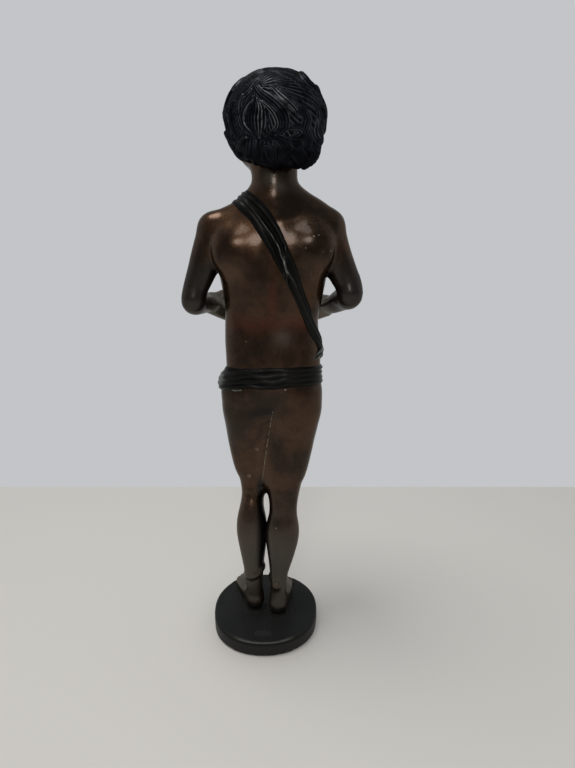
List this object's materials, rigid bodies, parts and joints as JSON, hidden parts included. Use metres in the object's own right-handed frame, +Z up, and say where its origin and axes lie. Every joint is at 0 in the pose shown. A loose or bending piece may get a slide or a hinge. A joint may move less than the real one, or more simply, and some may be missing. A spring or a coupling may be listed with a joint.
{
  "type": "bronze child statuette",
  "caption": "Cast bronze statuette of a standing child with a sash, hip cloth and curly hair, hands cupped in front, on a low oval plinth.",
  "frame": {"origin": "centre of the plinth's underside", "axes": "+Z up; the child faces -Y and its own left hand is on +X"},
  "size_m": [0.1561, 0.1422, 0.5],
  "materials": {
    "bronze": "satin brown patina, near-black on hair and cloth",
    "dark_bronze": "satin near-black patina"
  },
  "bodies": {
    "root": {"figure": "bronze", "plinth": "dark_bronze"}
  },
  "joints": []
}
